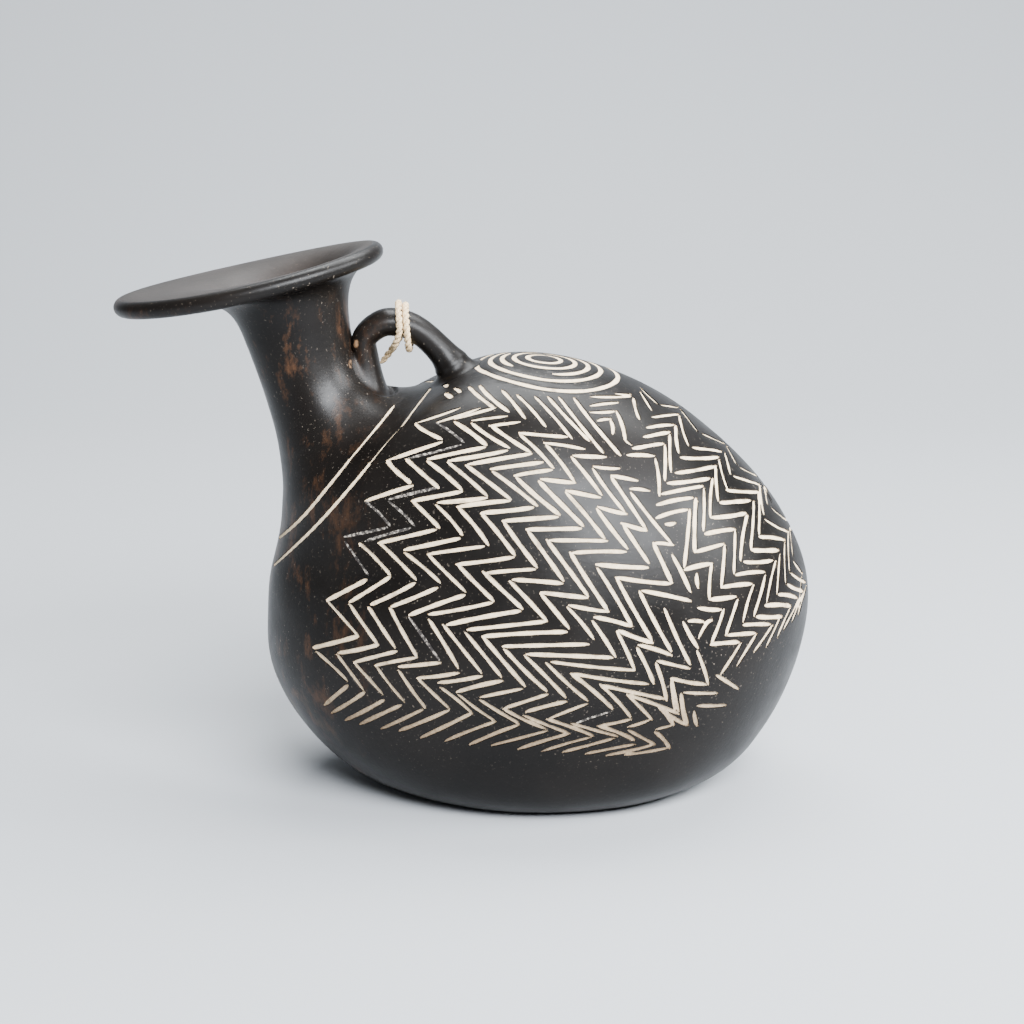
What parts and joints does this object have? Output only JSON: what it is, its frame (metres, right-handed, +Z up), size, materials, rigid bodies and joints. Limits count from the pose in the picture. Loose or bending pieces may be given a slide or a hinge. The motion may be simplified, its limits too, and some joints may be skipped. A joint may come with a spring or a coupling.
{
  "type": "askos flask",
  "caption": "Hollow burnished black clay askos: domed body, slanting neck, wide tilted mouth plate, small loop handle, incised white zigzags and a twine tie.",
  "frame": {"origin": "middle of the flat underside that the flask stands on", "axes": "+X from the breast to the tail, +Y to the side away from the picture's camera, +Z up; the mouth plate reaches out over -X"},
  "size_m": [0.2403, 0.1394, 0.1896],
  "materials": {
    "burnished_clay": "burnished, soft sheen, with white paste in its incised lines",
    "jute": "rough twisted fibre"
  },
  "bodies": {
    "root": {"vessel": "burnished_clay", "twine": "jute"}
  },
  "joints": []
}
